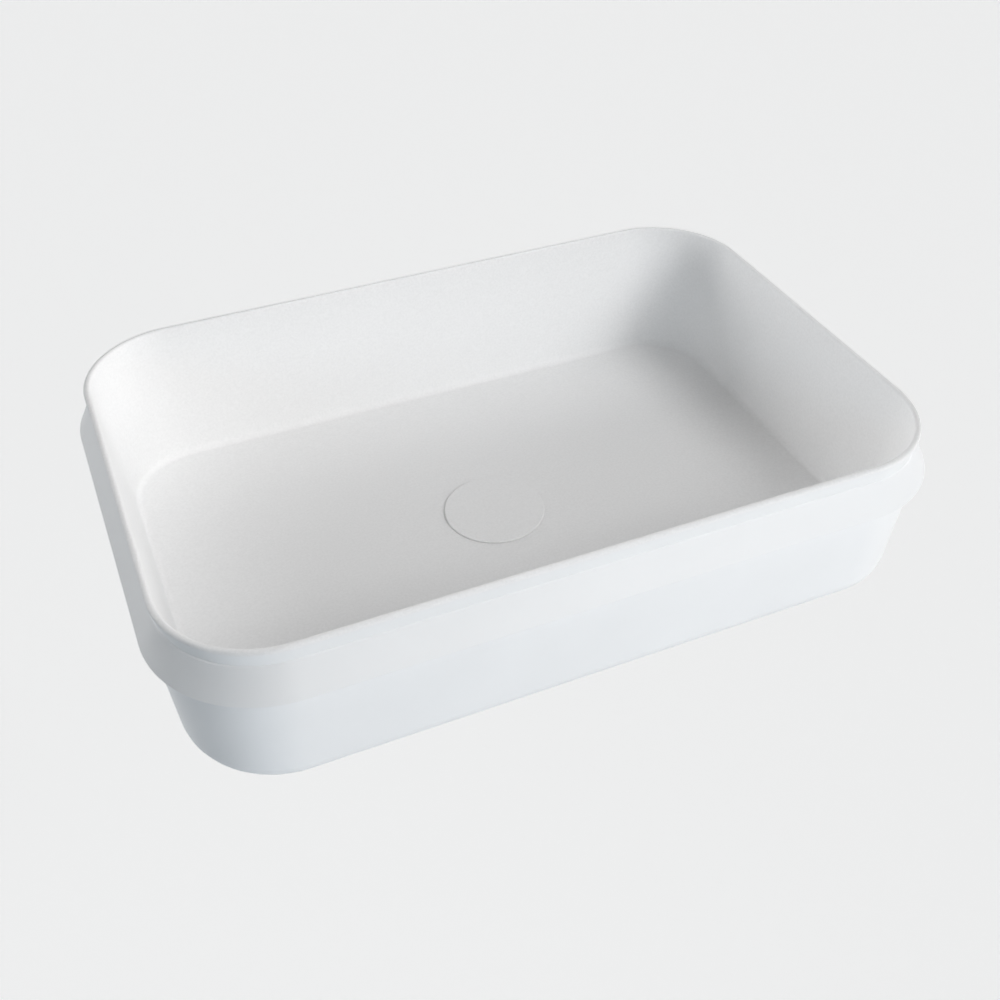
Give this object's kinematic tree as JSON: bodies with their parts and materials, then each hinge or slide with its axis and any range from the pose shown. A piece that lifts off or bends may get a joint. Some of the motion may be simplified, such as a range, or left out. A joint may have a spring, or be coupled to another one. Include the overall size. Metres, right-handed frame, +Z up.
{
  "type": "washbasin",
  "caption": "Rectangular semi-inset washbasin with rounded corners, a flared skirt that sits on a worktop, and a low push-to-open drain cover over a threaded waste.",
  "frame": {"origin": "centre of the seat plane under the skirt, on the waste's axis, where the worktop's top face is", "axes": "+Z up out of the bowl, +X along the basin's length, front at -Y"},
  "size_m": [0.6266, 0.4296, 0.1956],
  "materials": {
    "solid_surface": "matte, sanded mineral-filled cast resin",
    "carrier_plastic": "moulded",
    "seal_silicone": "moulded, translucent grey",
    "chromed_brass": "polished chrome plate",
    "gasket_rubber": "moulded black rubber",
    "washer_plastic": "stamped sheet",
    "turned_brass": "turned",
    "acetal": "moulded",
    "stainless_steel": "turned and drawn"
  },
  "bodies": {
    "basin": {"basin_bowl": "solid_surface", "flange_seal": "seal_silicone", "waste_body": "chromed_brass", "under_gasket": "gasket_rubber", "slip_washer": "washer_plastic", "back_nut": "chromed_brass", "cartridge_housing": "turned_brass", "guide_bush": "acetal", "return_spring": "stainless_steel"},
    "plug": {"drain_cover": "solid_surface", "cover_carrier": "carrier_plastic", "plug_seal": "seal_silicone", "plunger": "stainless_steel"},
    "index": {"index_ring": "acetal"}
  },
  "joints": [
    {"name": "cover_lift", "type": "slide", "parent": "basin", "child": "plug", "axis": [0, 0, 1], "range_m": [0, 0.009], "deforming": ["return_spring"]},
    {"name": "index_turn", "type": "hinge", "parent": "plug", "child": "index", "pos_m": [0, 0, -0.1226], "axis": [0, 0, 1], "range_deg": [0, 30]}
  ],
  "couplings": [
    {"joint": "index_turn", "follows": "cover_lift", "rad_per_m": 58.172}
  ]
}
